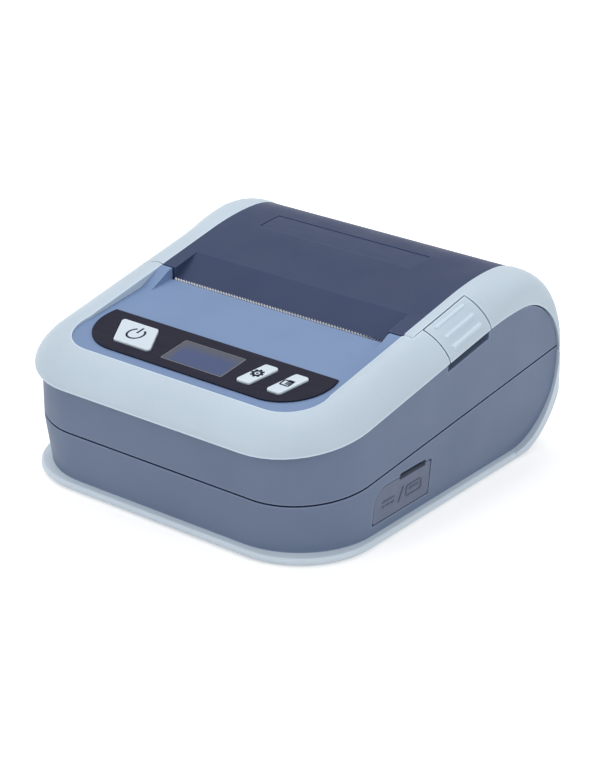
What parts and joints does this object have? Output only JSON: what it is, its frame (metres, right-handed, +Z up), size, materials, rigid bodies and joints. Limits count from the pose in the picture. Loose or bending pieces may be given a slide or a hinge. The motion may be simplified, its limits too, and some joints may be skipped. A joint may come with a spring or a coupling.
{
  "type": "portable thermal printer",
  "caption": "Portable thermal printer with a hinged paper cover, platen roller, tear bar, sloping key deck with display, and a side port cover.",
  "frame": {"origin": "middle of the footprint, on the surface that the feet stand on", "axes": "+Z up, +Y to the rear hinge, +X to the right of someone facing the keys"},
  "size_m": [0.118, 0.125, 0.0587],
  "materials": {
    "light_blue_abs": "fine satin moulding, pale blue",
    "blue_grey_abs": "fine satin moulding, blue grey",
    "deck_blue_abs": "fine satin moulding, mid blue",
    "cover_navy_abs": "fine satin moulding, dark slate blue",
    "window_smoke": "smoky gloss",
    "overlay_black": "printed film, near black",
    "lcd_film": "unlit display film",
    "key_white": "pale satin key",
    "inner_black": "black moulding",
    "steel": "zinc plated sheet",
    "aluminium": "bare",
    "ceramic": "ground white",
    "platen_rubber": "fine ground",
    "foot_rubber": "moulded",
    "flap_rubber": "moulded, blue grey",
    "acetal": "natural acetal",
    "brass": "machined",
    "board_green": "solder mask",
    "battery_wrap": "heat shrunk film"
  },
  "bodies": {
    "root": {"base_tray": "light_blue_abs", "lower_housing": "blue_grey_abs", "upper_housing": "blue_grey_abs", "top_bezel": "light_blue_abs", "front_deck": "deck_blue_abs", "key_overlay": "overlay_black", "lcd_window": "lcd_film", "lcd_module": "inner_black", "panel_board": "board_green", "key_switches": "inner_black", "tear_bar": "steel", "head_heatsink": "aluminium", "head_ceramic": "ceramic", "chassis": "steel", "stepper_motor": "steel", "main_board": "board_green", "port_board": "board_green", "dc_jack": "inner_black", "usb_socket": "steel", "battery_pack": "battery_wrap", "battery_contacts": "brass", "paper_bin": "cover_navy_abs", "paper_sensor": "inner_black", "hinge_pin": "steel", "rubber_feet": "foot_rubber", "base_screws": "steel", "chassis_screws": "steel"},
    "cover": {"cover_shell": "cover_navy_abs", "cover_window": "window_smoke", "rail_left": "light_blue_abs", "rail_right": "light_blue_abs", "platen_carrier": "cover_navy_abs", "platen_bushings": "acetal"},
    "platen": {"platen_roller": "platen_rubber", "platen_shaft": "steel", "platen_gear": "acetal"},
    "idler": {"idler_gear": "acetal"},
    "pinion": {"motor_pinion": "brass"},
    "power": {"power_key": "key_white"},
    "settings": {"settings_key": "key_white"},
    "feed": {"feed_key": "key_white"},
    "release": {"release_key": "key_white", "release_plunger": "steel"},
    "port_flap": {"port_cover": "flap_rubber"},
    "door": {"battery_door": "light_blue_abs"},
    "guide_l": {"guide_left": "acetal"},
    "guide_r": {"guide_right": "acetal"},
    "guide_gear": {"guide_pinion": "acetal"}
  },
  "joints": [
    {"name": "cover_hinge", "type": "hinge", "parent": "root", "child": "cover", "pos_m": [0, 0.061, 0.0301], "axis": [-1, 0, 0], "range_deg": [0, 75]},
    {"name": "platen_spin", "type": "hinge", "parent": "cover", "child": "platen", "pos_m": [0, 0.0016, 0.0415], "axis": [1, 0, 0], "continuous": true},
    {"name": "idler_spin", "type": "hinge", "parent": "root", "child": "idler", "pos_m": [-0.05, -0.00094, 0.02824], "axis": [1, 0, 0], "continuous": true},
    {"name": "pinion_spin", "type": "hinge", "parent": "root", "child": "pinion", "pos_m": [-0.05, -0.01326, 0.02494], "axis": [1, 0, 0], "continuous": true},
    {"name": "power_press", "type": "slide", "parent": "root", "child": "power", "axis": [0, 0.1289, -0.9917], "range_m": [0, 0.0005], "stiffness_N_per_m": 400},
    {"name": "settings_press", "type": "slide", "parent": "root", "child": "settings", "axis": [0, 0.1289, -0.9917], "range_m": [0, 0.0005], "stiffness_N_per_m": 400},
    {"name": "feed_press", "type": "slide", "parent": "root", "child": "feed", "axis": [0, 0.1289, -0.9917], "range_m": [0, 0.0005], "stiffness_N_per_m": 400},
    {"name": "release_press", "type": "slide", "parent": "root", "child": "release", "axis": [0, 0, -1], "range_m": [0, 0.0016], "stiffness_N_per_m": 500},
    {"name": "port_cover_hinge", "type": "hinge", "parent": "root", "child": "port_flap", "pos_m": [0.05655, -0.0197, 0.0069], "axis": [0, 1, 0], "range_deg": [0, 85]},
    {"name": "battery_door_hinge", "type": "hinge", "parent": "root", "child": "door", "pos_m": [0, -0.0132, 0.0016], "axis": [1, 0, 0], "range_deg": [0, 85]},
    {"name": "guide_right_slide", "type": "slide", "parent": "root", "child": "guide_r", "axis": [-1, 0, 0], "range_m": [0, 0.014]},
    {"name": "guide_left_slide", "type": "slide", "parent": "root", "child": "guide_l", "axis": [1, 0, 0], "range_m": [0, 0.014]},
    {"name": "guide_gear_spin", "type": "hinge", "parent": "root", "child": "guide_gear", "pos_m": [0, 0.0038, 0.0234], "axis": [0, 1, 0], "range_deg": [-5, 172.11]}
  ],
  "couplings": [
    {"joint": "idler_spin", "follows": "platen_spin", "ratio": -0.63636},
    {"joint": "pinion_spin", "follows": "platen_spin", "ratio": 1.1667},
    {"joint": "guide_left_slide", "follows": "guide_right_slide", "ratio": 1},
    {"joint": "guide_gear_spin", "follows": "guide_right_slide", "rad_per_m": 208.33}
  ]
}
